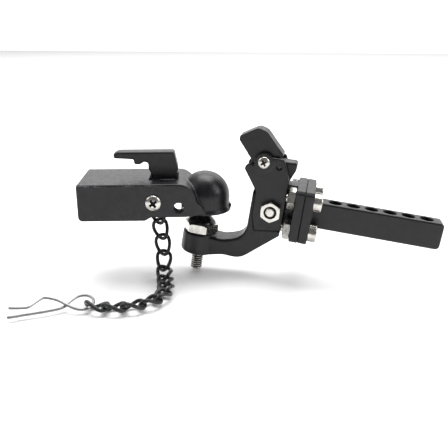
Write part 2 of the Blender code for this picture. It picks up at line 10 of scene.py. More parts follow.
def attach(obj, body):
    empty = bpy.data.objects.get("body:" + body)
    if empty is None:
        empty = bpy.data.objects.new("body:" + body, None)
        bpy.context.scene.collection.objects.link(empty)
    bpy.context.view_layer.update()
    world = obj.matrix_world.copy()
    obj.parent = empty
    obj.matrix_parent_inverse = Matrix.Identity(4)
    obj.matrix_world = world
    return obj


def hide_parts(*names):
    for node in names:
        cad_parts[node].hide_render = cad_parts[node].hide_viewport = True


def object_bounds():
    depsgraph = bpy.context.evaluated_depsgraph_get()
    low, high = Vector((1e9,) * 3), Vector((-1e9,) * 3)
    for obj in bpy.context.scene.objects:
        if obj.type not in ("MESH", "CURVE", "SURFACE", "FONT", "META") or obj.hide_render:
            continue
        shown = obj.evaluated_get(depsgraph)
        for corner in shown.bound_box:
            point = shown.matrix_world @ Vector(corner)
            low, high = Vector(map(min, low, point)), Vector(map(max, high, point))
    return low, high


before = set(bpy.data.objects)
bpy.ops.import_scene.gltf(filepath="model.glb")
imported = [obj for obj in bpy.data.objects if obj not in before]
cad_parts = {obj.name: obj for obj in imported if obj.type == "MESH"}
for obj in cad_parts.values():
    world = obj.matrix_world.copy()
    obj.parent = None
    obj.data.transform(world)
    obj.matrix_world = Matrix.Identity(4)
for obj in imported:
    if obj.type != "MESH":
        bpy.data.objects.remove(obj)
CAD_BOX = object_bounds()

# Driving dimensions in millimetres, as the CAD has them
BALL_RADIUS = 5.5
SEAT_INNER = 5.7
SEAT_OUTER = 6.05
SOCKET_RADIUS = 6.3
DOME_RADIUS = 7.5
SHELL_END = -36.7
SHELL_HALF_WIDTH = 10.2
SHELL_INNER = 8.2
SHELL_TOP = 6.05
SKIRT_BOTTOM = -3.9
CROSS_SCREW = (-14.9, 0.6)
ARM_BOLT = (20.7, 0.1)
JAW_PIVOT = (16.6, 14.0)
TRIGGER_PIVOT = (21.1, 13.4)
M3_FLATS = 5.5
M3_THREAD = 1.45
M3_NUT_THICK = 2.1
CAP_HEAD = (2.6, 2.5, 2.5)
SHANK_END = 70.0
SHANK_TOP = 4.6
SHANK_BOTTOM = -3.4
SHANK_HOLE_RADIUS = 1.9
HOLE_PITCH = 5.28

# Millimetre frames, as the CAD has them: the ball's centre is the origin of all three
MM = 0.001
PITCH = math.radians(7.5)
YAW = math.radians(12.0)
BALL = -(Matrix.Rotation(PITCH, 4, "Y") @ Vector((SHANK_END, 0, (SHANK_TOP + SHANK_BOTTOM) / 2)))
SCALE = Matrix.Scale(MM, 4) @ Matrix.Translation(BALL)
HITCH = SCALE @ Matrix.Rotation(PITCH, 4, "Y")
COUPLER = SCALE @ Matrix.Rotation(YAW, 4, "Z")
LEVEL = SCALE
SURFACE_Z = -24.0
SHARP_ANGLE = math.radians(40)


# ---------------------------------------------------------------- camera


def camera():
    made = bpy.data.cameras.new("camera")
    made.lens = 48.15
    made.sensor_width = 36
    made.clip_start = 0.01
    made.clip_end = 20
    holder = bpy.data.objects.new("camera", made)
    holder.location = LEVEL @ Vector((36.1, -171.8, 49.3))
    holder.rotation_euler = (math.radians(90 - 18.48), 0, math.radians(9.98))
    bpy.context.scene.collection.objects.link(holder)
    bpy.context.scene.camera = holder


# ---------------------------------------------------------------- materials


class Nodes:
    """A material's node tree, built by short calls."""

    def __init__(self, name, **sockets):
        self.material = bpy.data.materials.new(name)
        self.material.use_nodes = True
        self.tree = self.material.node_tree
        self.shader = self.tree.nodes["Principled BSDF"]
        for socket, value in sockets.items():
            self.shader.inputs[socket.replace("_", " ")].default_value = value
        self.object = self.new("ShaderNodeTexCoord").outputs["Object"]

    def new(self, kind, **settings):
        node = self.tree.nodes.new(kind)
        for key, value in settings.items():
            setattr(node, key, value)
        return node

    def link(self, source, target):
        self.tree.links.new(source, target)

    def noise(self, size_mm, detail=3.0):
        """Noise whose features are about size_mm across."""
        node = self.new("ShaderNodeTexNoise")
        node.inputs["Scale"].default_value = 1000 / size_mm
        node.inputs["Detail"].default_value = detail
        node.inputs["Roughness"].default_value = 0.55
        self.link(self.object, node.inputs["Vector"])
        return node.outputs["Fac"]

    def span(self, value, low, high, start=0.3, end=0.7):
        node = self.new("ShaderNodeMapRange")
        for socket, number in zip(("From Min", "From Max", "To Min", "To Max"), (start, end, low, high)):
            node.inputs[socket].default_value = number
        self.link(value, node.inputs["Value"])
        return node.outputs["Result"]

    def blend(self, factor, dark, light):
        node = self.new("ShaderNodeMix", data_type="RGBA")
        for socket, colour in ((node.inputs[6], dark), (node.inputs[7], light)):
            if isinstance(colour, tuple):
                socket.default_value = (*colour, 1)
            else:
                self.link(colour, socket)
        self.link(factor, node.inputs["Factor"])
        return node.outputs[2]

    def maths(self, operation, a, b):
        node = self.new("ShaderNodeMath", operation=operation)
        for socket, value in zip(node.inputs, (a, b)):
            if isinstance(value, (int, float)):
                socket.default_value = value
            else:
                self.link(value, socket)
        return node.outputs[0]

    def bump(self, height, depth_mm, strength=1.0):
        node = self.new("ShaderNodeBump")
        node.inputs["Strength"].default_value = strength
        node.inputs["Distance"].default_value = depth_mm * MM
        self.link(height, node.inputs["Height"])
        self.link(node.outputs["Normal"], self.shader.inputs["Normal"])

    def done(self, colour, roughness):
        self.link(colour, self.shader.inputs["Base Color"])
        self.link(roughness, self.shader.inputs["Roughness"])
        return self.material


def cast_paint(name, grain=0.5, depth=0.02):
    """Satin black paint over a cast surface: fine pebbled grain with faint dusty patches."""
    n = Nodes(name, Specular_IOR_Level=0.38)
    fine = n.noise(grain, 4)
    broad = n.noise(9, 3)
    specks = n.span(n.noise(0.8, 2), 0, 1, 0.66, 0.74)
    base = n.blend(n.span(broad, 0, 1), (0.003, 0.003, 0.0042), (0.0055, 0.0055, 0.0075))
    colour = n.blend(n.maths("MULTIPLY", specks, 0.35), base, (0.022, 0.022, 0.025))
    n.bump(fine, depth)
    return n.done(colour, n.span(n.noise(1.6, 4), 0.3, 0.44))


def worn_paint():
    """The coupler's paint, with bright specks where its upper front edge has rubbed."""
    n = Nodes("coupler_paint", Specular_IOR_Level=0.38)
    place = n.new("ShaderNodeMapping", vector_type="TEXTURE")
    place.inputs["Location"].default_value = BALL * MM
    place.inputs["Rotation"].default_value = (0, 0, YAW)
    n.link(n.object, place.inputs["Vector"])
    split = n.new("ShaderNodeSeparateXYZ")
    n.link(place.outputs["Vector"], split.inputs["Vector"])
    x, y, z = (split.outputs[axis] for axis in "XYZ")
    high = n.span(z, 0, 1, 5.2 * MM, 5.6 * MM)
    low = n.span(z, 1, 0.4, 5.8 * MM, 6.0 * MM)
    front = n.span(y, 1, 0, -9.95 * MM, -9.6 * MM)
    behind = n.span(x, 1, 0, -17 * MM, -12 * MM)
    edge = n.maths("MULTIPLY", n.maths("MULTIPLY", high, low), n.maths("MULTIPLY", front, behind))
    patches = n.span(n.noise(5.0, 2), 0.15, 1, 0.42, 0.6)
    chips = n.maths("MULTIPLY", n.span(n.noise(0.32, 2), 0, 1, 0.5, 0.62), patches)
    base = n.blend(n.span(n.noise(9, 3), 0, 1), (0.003, 0.003, 0.0042), (0.0055, 0.0055, 0.0075))
    colour = n.blend(n.maths("MULTIPLY", edge, chips), base, (0.22, 0.22, 0.23))
    n.bump(n.noise(0.6, 4), 0.03)
    return n.done(colour, n.span(n.noise(1.6, 4), 0.26, 0.42))


def plated(name, colour, roughness):
    """Plated metal with faint rubbed scratches."""
    n = Nodes(name, Metallic=1.0)
    rub = n.noise(0.35, 4)
    broad = n.noise(2.2, 3)
    dark = tuple(c * 0.72 for c in colour)
    n.bump(rub, 0.006)
    return n.done(n.blend(n.span(broad, 0, 1), dark, colour), n.span(rub, roughness * 0.7, roughness * 1.4))


def black_oxide(name, roughness=0.28):
    n = Nodes(name, Metallic=0.35, Specular_IOR_Level=0.6)
    grain = n.noise(0.4, 4)
    n.bump(grain, 0.012)
    colour = n.blend(n.span(n.noise(1.5, 3), 0, 1), (0.006, 0.006, 0.007), (0.02, 0.02, 0.022))
    return n.done(colour, n.span(grain, roughness * 0.7, roughness * 1.5))


def moulded_nylon():
    n = Nodes("seat_nylon", Specular_IOR_Level=0.4)
    n.bump(n.noise(0.3, 3), 0.01)
    colour = n.blend(n.span(n.noise(1.2), 0, 1), (0.02, 0.02, 0.02), (0.035, 0.035, 0.035))
    return n.done(colour, n.span(n.noise(0.8), 0.5, 0.7))


def floor_paper():
    n = Nodes("floor_paper", Specular_IOR_Level=0.1)
    n.bump(n.noise(0.6, 3), 0.01)
    colour = n.blend(n.span(n.noise(40, 2), 0, 1), (0.9, 0.9, 0.9), (0.92, 0.92, 0.92))
    return n.done(colour, n.span(n.noise(5), 0.8, 0.9))


# ---------------------------------------------------------------- shapes, in millimetres


def filleted(corners, step=math.radians(15)):
    """The outline's points, from corners (u, v, radius) in order, with an arc at each corner."""
    points = []
    for i, (u, v, radius) in enumerate(corners):
        here = Vector((u, v))
        back = (Vector(corners[i - 1][:2]) - here).normalized()
        ahead = (Vector(corners[(i + 1) % len(corners)][:2]) - here).normalized()
        half = back.angle(ahead) / 2
        if radius == 0 or half > math.radians(88):
            points.append(here)
            continue
        reach = radius / math.tan(half)
        centre = here + (back + ahead).normalized() * (radius / math.sin(half))
        first = here + back * reach - centre
        last = here + ahead * reach - centre
        sweep = first.angle_signed(last)
        count = max(2, math.ceil(abs(sweep) / step))
        for k in range(count + 1):
            points.append(centre + Matrix.Rotation(-sweep * k / count, 2) @ first)
    return points


def inset(points, depth):
    """The outline moved inwards by depth."""
    area = sum(a.x * b.y - b.x * a.y for a, b in zip(points, points[1:] + points[:1]))
    side = 1 if area > 0 else -1
    moved = []
    for i, here in enumerate(points):
        along_in = (here - points[i - 1]).normalized()
        along_out = (points[(i + 1) % len(points)] - here).normalized()
        normal_in = Vector((-along_in.y, along_in.x)) * side
        normal_out = Vector((-along_out.y, along_out.x)) * side
        middle = (normal_in + normal_out).normalized()
        moved.append(here + middle * (depth / max(0.5, middle.dot(normal_in))))
    return moved


def lofted(loops):
    """A mesh through loops of equally many points, with its two ends closed."""
    bm = bmesh.new()
    rows = [[bm.verts.new(p) for p in loop] for loop in loops]
    for low, high in zip(rows, rows[1:]):
        for i in range(len(low)):
            j = (i + 1) % len(low)
            bm.faces.new((low[i], low[j], high[j], high[i]))
    bm.faces.new(rows[0][::-1])
    bm.faces.new(rows[-1])
    return finished(bm)


def finished(bm):
    bmesh.ops.recalc_face_normals(bm, faces=bm.faces)
    mesh = bpy.data.meshes.new("shape")
    bm.to_mesh(mesh)
    bm.free()
    return mesh


def plate(points, low, high, chamfer=0.0, plane="XZ"):
    """An outline given depth from low to high across its plane, with its rims chamfered."""
    points = [Vector(p[:2]) for p in points]
    levels = [(low, 0), (high, 0)]
    if chamfer:
        levels = [(low, chamfer), (low + chamfer, 0), (high - chamfer, 0), (high, chamfer)]
    put = {
        "XZ": lambda p, d: (p.x, d, p.y),
        "XY": lambda p, d: (p.x, p.y, d),
        "YZ": lambda p, d: (d, p.x, p.y),
    }[plane]
    rims = [(depth, inset(points, back) if back else points) for depth, back in levels]
    return lofted([[put(p, depth) for p in rim] for depth, rim in rims])


def box(low, high):
    x0, y0, z0 = low
    x1, y1, z1 = high
    return plate([(x0, y0), (x1, y0), (x1, y1), (x0, y1)], z0, z1, plane="XY")


def aimed(mesh, start, end, turn=0.0):
    """A mesh made along +z from the origin, moved to start and aimed at end."""
    start, end = Vector(start), Vector(end)
    aim = (end - start).to_track_quat("Z", "Y").to_matrix().to_4x4()
    mesh.transform(Matrix.Translation(start) @ aim @ Matrix.Rotation(turn, 4, "Z"))
    return mesh


def turned(profile, segments=48):
    """A profile of (radius, height), bottom to top, turned about z and closed across both ends."""
    loops = []
    for radius, z in profile:
        radius = max(radius, 1e-4)
        ring = [2 * math.pi * k / segments for k in range(segments)]
        loops.append([(radius * math.cos(a), radius * math.sin(a), z) for a in ring])
    return lofted(loops)


def rod(start, end, radius, segments=32):
    length = (Vector(end) - Vector(start)).length
    return aimed(turned([(radius, 0), (radius, length)], segments), start, end)


def across(place, low, high, radius):
    """A rod along y through place (x, z)."""
    return rod((place[0], low, place[1]), (place[0], high, place[1]), radius)


def arc(radius, start, end, count):
    """Points (radius, height) on a circle, from one latitude to another."""
    for k in range(count + 1):
        angle = math.radians(start + (end - start) * k / count)
        yield radius * math.cos(angle), radius * math.sin(angle)


def evaluated(base, *steps):
    """The mesh after steps: (operation, mesh) pairs for booleans, or (modifier type, settings) pairs."""
    target = bpy.data.objects.new("target", base)
    bpy.context.scene.collection.objects.link(target)
    helpers = [target]
    for kind, value in steps:
        if kind in ("UNION", "DIFFERENCE", "INTERSECT"):
            helper = bpy.data.objects.new("helper", value)
            bpy.context.scene.collection.objects.link(helper)
            helpers.append(helper)
            modifier = target.modifiers.new("cut", "BOOLEAN")
            modifier.operation = kind
            modifier.object = helper
            continue
        modifier = target.modifiers.new("step", kind)
        for key, setting in value.items():
            setattr(modifier, key, setting)
    graph = bpy.context.evaluated_depsgraph_get()
    mesh = bpy.data.meshes.new_from_object(target.evaluated_get(graph))
    for helper in helpers:
        bpy.data.objects.remove(helper)
    return mesh


def cast(base, *steps, voxel=0.28, rounds=3, flatten=1.5):
    """A solid with the soft edges and fillets of a casting."""
    return evaluated(
        base,
        *steps,
        ("REMESH", {"mode": "VOXEL", "voxel_size": voxel, "adaptivity": 0}),
        ("SMOOTH", {"factor": 0.5, "iterations": rounds}),
        ("DECIMATE", {"decimate_type": "DISSOLVE", "angle_limit": math.radians(flatten)}),
    )


def helix(radius, pitch, depth, length, segments=24, rows=6, lead=0.5):
    """A threaded shaft along +z, with its end chamfered."""
    loops = []
    count = math.ceil(length / pitch * rows)
    for j in range(count + 1):
        z = length * j / count
        cap = min(1.0, (length - z) / lead) if length - z < lead else 1.0
        loop = []
        for k in range(segments):
            turn = k / segments
            wave = abs(((z / pitch - turn) % 1) * 2 - 1)
            r = (radius - depth * wave) * (0.78 + 0.22 * cap)
            loop.append((r * math.cos(2 * math.pi * turn), r * math.sin(2 * math.pi * turn), z))
        loops.append(loop)
    # The thread roots get a dark painted shade in place of their shadow.
    return painted_shade_where(lofted(loops), lambda r, z: r < radius - depth * 0.6 and z < length - lead)


def painted_shade_where(mesh, test):
    """Gives the second material, a dark painted shade standing in for the shadow in recesses, to the faces
    whose middle passes test(radius from z, height).
    """
    for face in mesh.polygons:
        middle = face.center
        face.material_index = int(test(math.hypot(middle.x, middle.y), middle.z))
    return mesh


# ---------------------------------------------------------------- pieces


def piece(name, mesh, place, body, look, *nodes, slot=None):
    """A mesh in a frame's millimetres, made a piece of a body that stands for CAD nodes."""
    mesh.transform(place)
    mesh.shade_smooth()
    mesh.set_sharp_from_angle(angle=SHARP_ANGLE)
    # Faces marked by the recess test get a second material: a dark painted shade in recesses.
    shade_painted = any(face.material_index for face in mesh.polygons)
    kept = [face.material_index for face in mesh.polygons]
    mesh.materials.clear()
    mesh.materials.append(look)
    if shade_painted:
        mesh.materials.append(RECESS_SHADE_PAINT)
        mesh.polygons.foreach_set("material_index", kept)
    obj = bpy.data.objects.new(name, mesh)
    bpy.context.scene.collection.objects.link(obj)
    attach(obj, body)
    if nodes:
        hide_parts(*nodes)
    weighted = obj.modifiers.new("normals", "WEIGHTED_NORMAL")
    weighted.keep_sharp = True
    return obj


def bright_piece(name, mesh, place, body, *nodes):
    return piece(name, mesh, place, body, NICKEL, *nodes, slot="bright_steel")


def joined(*meshes):
    bm = bmesh.new()
    for mesh in meshes:
        bm.from_mesh(mesh)
    return finished(bm)


def hex_outline(flats, turn=0.0):
    across = flats / math.sqrt(3)
    angles = [turn + math.pi * k / 3 for k in range(6)]
    return [Vector((across * math.cos(a), across * math.sin(a))) for a in angles]


def hex_nut_mesh(flats, thick, bore):
    """A nut along +z with its six corners chamfered and its bore countersunk on top."""
    across = flats / math.sqrt(3)
    face, reach = flats / 2 * 0.97, across + 0.05
    lens = turned([(face, 0), (reach, 0.28), (reach, thick - 0.28), (face, thick)])
    prism = plate(hex_outline(flats), 0, thick, plane="XY")
    sink = turned([(bore, -0.1), (bore, thick - 0.3), (bore + 0.5, thick + 0.2)], 32)
    # The bore gets a dark painted shade in place of its shadow.
    return painted_shade_where(evaluated(prism, ("INTERSECT", lens), ("DIFFERENCE", sink)), lambda r, z: r < bore + 0.2)


def cap_head_mesh(radius, height, socket, depth=1.4):
    """A socket screw's head along +z: fine knurl, rounded rim, hexagon socket with a drilled point."""
    ribs = 44
    loops = []
    side = ((0, 0.1, 0), (0.15, 0, 0.5), (0.3, 0, 1), (height - 0.55, 0, 1), (height - 0.4, 0, 0))
    for z, back, knurl in side:
        loops.append([(radius - back - (0.07 * knurl if k % 2 else 0), k, z) for k in range(2 * ribs)])
    for back, z in ((0.06, height - 0.2), (0.2, height - 0.06), (0.4, height)):
        loops.append([(radius - back, k, z) for k in range(2 * ribs)])
    step = math.pi / ribs
    rings = [[(r * math.cos(step * k), r * math.sin(step * k), z) for r, k, z in loop] for loop in loops]
    foot = height - depth
    hexagon = plate(hex_outline(socket, 0.2), foot, height + 0.5, plane="XY")
    mouth = turned([(socket * 0.42, height - 0.3), (socket * 0.66, height + 0.15)], 32)
    drilled = socket * 0.45
    point = turned([(0, foot - 0.45), (drilled, foot + 0.01), (drilled, height - 0.5)], 24)
    mesh = evaluated(lofted(rings), ("DIFFERENCE", hexagon), ("DIFFERENCE", mouth), ("DIFFERENCE", point))
    # The socket's inside gets a dark painted shade in place of its shadow.
    return painted_shade_where(mesh, lambda r, z: r < socket * 0.56 and z < height - 0.1)


def cross_head_mesh(radius, height, turn=0.6):
    """A pan head along +z with a cross recess."""
    rim = 0.35
    profile = [(radius * 0.96, 0), (radius, 0.12), (radius, rim)]
    crown = height - rim
    profile += [(radius * math.cos(a), rim + crown * math.sin(a)) for a in (0.3, 0.6, 0.85, 1.1, 1.3)]
    profile += [(0, height)]
    steps = []
    for k in range(2):
        wide, deep, thin = radius * 0.6, height * 0.8, radius * 0.17
        corners = ((-wide, -thin), (wide, -thin), (wide, thin), (-wide, thin))
        levels = ((height - deep, 0.7), (height + 0.1, 1))
        arm = lofted([[(x * size, y * size, z) for x, y in corners] for z, size in levels])
        arm.transform(Matrix.Rotation(turn + k * math.pi / 2, 4, "Z"))
        steps.append(("DIFFERENCE", arm))
    core = turned([(0, height * 0.12), (radius * 0.3, height + 0.1)], 24)
    mesh = evaluated(turned(profile), *steps, ("DIFFERENCE", core))

    def sunk(r, z):
        return r < radius * 0.7 and z < rim + crown * math.sqrt(1 - (r / radius) ** 2) - 0.08

    # The cross recess gets a dark painted shade in place of its shadow.
    return painted_shade_where(mesh, sunk)


# ---------------------------------------------------------------- chain and clip


def smooth_route(points, step):
    """Points a straight step apart on the Catmull-Rom curve through points."""
    points = [Vector(p) for p in points]
    padded = [2 * points[0] - points[1], *points, 2 * points[-1] - points[-2]]
    spaced = [points[0]]
    for a, b, c, d in zip(padded, padded[1:], padded[2:], padded[3:]):
        for k in range(201):
            t = k / 200
            square, cube = t * t, t * t * t
            bend = (2 * a - 5 * b + 4 * c - d) * square + (3 * b - a - 3 * c + d) * cube
            place = (2 * b + (c - a) * t + bend) / 2
            if (place - spaced[-1]).length >= step:
                spaced.append(place)
    return spaced


def wire(points, radius, closed=False, sides=10):
    """A round wire along points, with rounded ends when it is open."""
    points = [Vector(p) for p in points]
    count = len(points)
    loops = []
    side = None
    for i, here in enumerate(points):
        ahead = points[(i + 1) % count] if closed or i + 1 < count else here
        behind = points[i - 1] if closed or i else here
        along = (ahead - behind).normalized()
        side = along.orthogonal() if side is None else side
        side = (side - along * side.dot(along)).normalized()
        other = along.cross(side)
        ring = [2 * math.pi * k / sides for k in range(sides)]
        loop = [here + (side * math.cos(a) + other * math.sin(a)) * radius for a in ring]
        if not closed and i == 0:
            for back, size in ((1.0, 0.3), (0.75, 0.7)):
                loops.append([here - along * radius * back + (p - here) * size for p in loop])
        loops.append(loop)
        if not closed and i == count - 1:
            for out, size in ((0.75, 0.7), (1.0, 0.3)):
                loops.append([here + along * radius * out + (p - here) * size for p in loop])
    if not closed:
        return lofted(loops)
    first, last = loops[0], loops[-1]
    shift = min(range(sides), key=lambda s: (last[0] - first[s]).length)
    bm = bmesh.new()
    rows = [[bm.verts.new(p) for p in loop] for loop in loops]
    for n, row in enumerate(rows):
        follow = rows[(n + 1) % count]
        offset = shift if n == count - 1 else 0
        for k in range(sides):
            j = (k + 1) % sides
            bm.faces.new((row[k], row[j], follow[(j + offset) % sides], follow[(k + offset) % sides]))
    return finished(bm)


CHAIN_WIRE = 0.55
LINK_HALF_LENGTH = 3.15
LINK_HALF_WIDTH = 2.2
LINK_TWIST = 0.85
LINK_PITCH = 5.0
LINKS = 13


def chain_route():
    """Where each link meets the next: down from the cross screw, then along the surface to the clip."""
    lying = SURFACE_Z + LINK_TWIST + CHAIN_WIRE + 0.05
    return smooth_route(
        [
            (-14.7, -4.0, 2.1),
            (-14.1, -4.0, -2.8),
            (-13.5, -4.0, -7.7),
            (-12.8, -4.0, -12.5),
            (-12.2, -4.6, -17.3),
            (-11.5, -7.0, -20.9),
            (-10.3, -11.2, lying + 0.1),
            (-8.2, -17.4, lying),
            (-7.0, -22.3, lying),
            (-7.9, -27.2, lying),
            (-11.0, -31.0, lying),
            (-15.4, -33.6, lying),
            (-20.2, -34.6, lying),
            (-26.5, -33.6, lying),
        ],
        LINK_PITCH,
    )[: LINKS + 1]


def chain_link():
    """A twisted curb link about its middle, long along x, with the butt of its wire on one side."""
    points = []
    for k in range(36):
        angle = 2 * math.pi * k / 36
        points.append(
            (
                LINK_HALF_LENGTH * math.cos(angle),
                LINK_HALF_WIDTH * math.sin(angle) * (1 + 0.06 * math.cos(2 * angle)),
                LINK_TWIST * math.sin(2 * angle),
            )
        )
    return wire(points, CHAIN_WIRE, closed=True)


def chain(clip):
    joints = chain_route()
    across = Vector((1, 0, 0))
    meshes = []
    for start, end in zip(joints, joints[1:]):
        along = (end - start).normalized()
        across = (across - along * across.dot(along)).normalized()
        axes = Matrix((along, across, along.cross(across))).transposed().to_4x4()
        link = chain_link()
        link.transform(Matrix.Translation((start + end) / 2) @ axes)
        meshes.append(link)
    nodes = [f"chain_link_{n:02d}" for n in range(1, LINKS + 1)]
    look = black_oxide("chain_black")
    made = piece("safety_chain", joined(*meshes), LEVEL, "coupler", look, *nodes, slot="black_steel")


def r_clip():
    outline = [
        (0.8, 1.7), (4.2, 1.0), (5.6, 1.15), (8.8, 3.3), (10.2, 3.5),
        (13.0, 1.9), (15.6, -0.9), (17.8, -2.6), (20.2, -2.7),
        (22.0, -1.3), (22.3, 0.9), (21.0, 2.6), (18.8, 2.9), (16.4, 1.6),
        (14.2, -0.1), (10.0, -0.55), (5.0, -0.6), (0.0, -0.6),
    ]
    flat = []
    for n, (x, y) in enumerate(outline):
        over = 0.5 if n < 7 else -0.5 if n > 13 else 0.5 - (n - 6) / 8
        flat.append(Vector((x, y, over)))
    place = (
        Matrix.Translation((-43.8, -43.3, SURFACE_Z + 1.5))
        @ Matrix.Rotation(math.radians(31.5), 4, "Z")
        @ Matrix.Rotation(math.radians(20), 4, "X")
    )
    mesh = wire(smooth_route(flat, 0.45), 0.4, sides=12)
    mesh.transform(place)
    chrome = plated("clip_chrome", (0.3, 0.3, 0.3), 0.3)
    return piece("chrome_clip", mesh, LEVEL, "coupler", chrome, "r_clip", slot="bright_steel")


camera()
# A dark material painted into recesses, thread roots and bores as shade.
RECESS_SHADE_PAINT = black_oxide("painted_recess_shade", 0.6)
chain(r_clip())

PAINT = cast_paint("cast_black")
MACHINED = cast_paint("machined_black", 0.35, 0.01)
NICKEL = plated("nickel_plate", (0.66, 0.64, 0.6), 0.22)
BLACK_STEEL = black_oxide("pin_black")


# ---------------------------------------------------------------- coupler


def coupler():
    wide = SHELL_HALF_WIDTH
    nose = ((-5.4, -10.05), (-4, -9.65), (-2.6, -9.1), (-1.2, -8.4), (0.2, -7.6))
    near = [(SHELL_END, -wide), (-7, -wide), *nose]
    plan = [*near, *((x, -y) for x, y in reversed(near))]
    side = filleted(
        [
            (SHELL_END, -4.9, 1.3),
            (-17.4, -4.9, 0.8),
            (-15.8, SKIRT_BOTTOM, 0.8),
            (0.2, SKIRT_BOTTOM, 0.3),
            (-0.8, -1.2, 2.5),
            (-2.5, 0.4, 1.5),
            (-2.7, 6.0, 5.4),
            (-9, SHELL_TOP, 0),
            (SHELL_END, SHELL_TOP, 0.7),
        ]
    )
    lip = [(0, -4.4), (7.8, -4.4), (7.9, -4.1), (7.85, -3.7), (7.55, -3.3), (7.5, -2.8)]
    dome = turned([*lip, *arc(DOME_RADIUS, 0, 90, 18)], 64)
    socket = turned([(SOCKET_RADIUS, -9), *arc(SOCKET_RADIUS, 0, 90, 14)], 48)
    slot = filleted([(-16.3, -5.0, 0.8), (-8.0, -5.0, 0.8), (-8.0, 5.0, 0.8), (-16.3, 5.0, 0.8)])
    lock = filleted([(-9.0, -2.2, 1.2), (-6.3, -2.2, 1.2), (-6.3, 0.4, 1.2), (-9.0, 0.4, 1.2)])
    lock_boss = across((-7.65, -0.9), -9.6, -6.9, 2.1)
    nub = turned([(0, -0.8), *arc(0.8, -60, 60, 6), (0, 0.8)], 20)
    nub.transform(Matrix.Translation((7.3, -1.4, -2.8)))
    mesh = cast(
        plate(plan, -4.95, 6.0, plane="XY"),
        ("INTERSECT", plate(side, -12, 12)),
        ("UNION", dome),
        ("UNION", nub),
        ("DIFFERENCE", box((-40, -SHELL_INNER, -9), (-5.9, SHELL_INNER, 4.4))),
        ("DIFFERENCE", box((-7, -3.3, -9), (-4, 3.3, -2.1))),
        ("UNION", lock_boss),
        ("DIFFERENCE", socket),
        ("DIFFERENCE", plate(slot, 4.0, 7, plane="XY")),
        ("DIFFERENCE", box((-40, 0.4, 5.7), (-16, 0.9, 7))),
        ("DIFFERENCE", plate(lock, -12, 12)),
        ("DIFFERENCE", across(CROSS_SCREW, -12, 12, 1.5)),
        voxel=0.27,
        rounds=5,
    )
    piece("coupler_casting", mesh, COUPLER, "coupler", worn_paint(), "coupler_shell")


def lever():
    outline = filleted(
        [
            (-26.7, 11.85, 0.5), (-20.9, 11.5, 0.2), (-20.7, 10.0, 0.5),
            (-19.0, 10.0, 0.6), (-17.9, 10.75, 0.6), (-16.6, 10.5, 0.8),
            (-16.6, 8.6, 0.4), (-15.9, 7.4, 0.4), (-16.0, 5.3, 0.3),
            (-8.5, 5.3, 0.5), (-7.8, 8.8, 1.5), (-8.9, 13.85, 0.8),
            (-25.3, 13.8, 0.9), (-26.7, 13.2, 0.5),
        ]
    )
    mesh = cast(plate(outline, -2.3, 2.3, 0.4), voxel=0.2, rounds=3)
    piece("lever_casting", mesh, COUPLER, "latch_lever", PAINT, "latch_lever")


def coupler_hardware():
    x, z = CROSS_SCREW
    head = aimed(cross_head_mesh(2.35, 1.25), (x, -10.25, z), (x, -12, z))
    shaft = aimed(helix(1.2, 0.45, 0.14, 23.6), (x, -10.0, z), (x, 12, z))
    bright_piece("cross_screw_detail", joined(head, shaft), COUPLER, "coupler", "cross_screw")
    nut = aimed(hex_nut_mesh(5.0, 2.1, 1.35), (x, 10.25, z), (x, 14, z), 0.4)
    bright_piece("cross_nut_detail", nut, COUPLER, "coupler", "cross_nut")
    tongue = filleted([(-7.2, -3.0, 0.6), (-4.3, -3.0, 0.3), (-4.3, 3.0, 0.3), (-7.2, 3.0, 0.6)])
    curve = rod((0, 0, -9), (0, 0, 0), SEAT_OUTER, 48)
    clamp = evaluated(plate(tongue, -3.6, -2.4, 0.15, "XY"), ("DIFFERENCE", curve))
    piece("clamp_tongue", clamp, COUPLER, "ball_clamp", BLACK_STEEL, "ball_clamp", slot="bright_steel")


# ---------------------------------------------------------------- ball and stud


def ball():
    collar = [(0, -8.6), (4.4, -8.6), (4.3, -8.1), (3.9, -7.6), (2.6, -6.4), (2.3, -5.9)]
    neck = turned([*collar, *arc(BALL_RADIUS, -66, 90, 26)], 48)
    hexagon = evaluated(
        plate(hex_outline(9.3, math.radians(-1)), -11.1, -8.5, plane="XY"),
        ("INTERSECT", turned([(4.9, -11.2), (5.4, -10.9), (5.4, -8.9), (4.75, -8.4)], 64)),
    )
    thread = helix(1.9, 0.7, 0.28, 13.0)
    thread.transform(Matrix.Translation((0, 0, -11.15)) @ Matrix.Rotation(math.pi, 4, "X"))
    piece("ball_and_collar", neck, HITCH, "hitch", black_oxide("ball_black", 0.22), slot="bright_steel")
    bright_piece("stud_hexagon", hexagon, HITCH, "hitch")
    bright_piece("stud_thread", thread, HITCH, "hitch", "ball_stud")
    seat_profile = [*arc(SEAT_INNER, 90, 0, 12), *arc(SEAT_OUTER, 0, 90, 12)]
    seat = turned(seat_profile[::-1], 48)
    piece("seat_liner", seat, COUPLER, "ball_seat", moulded_nylon(), "ball_seat", slot="dark_nylon")


# ---------------------------------------------------------------- hitch castings


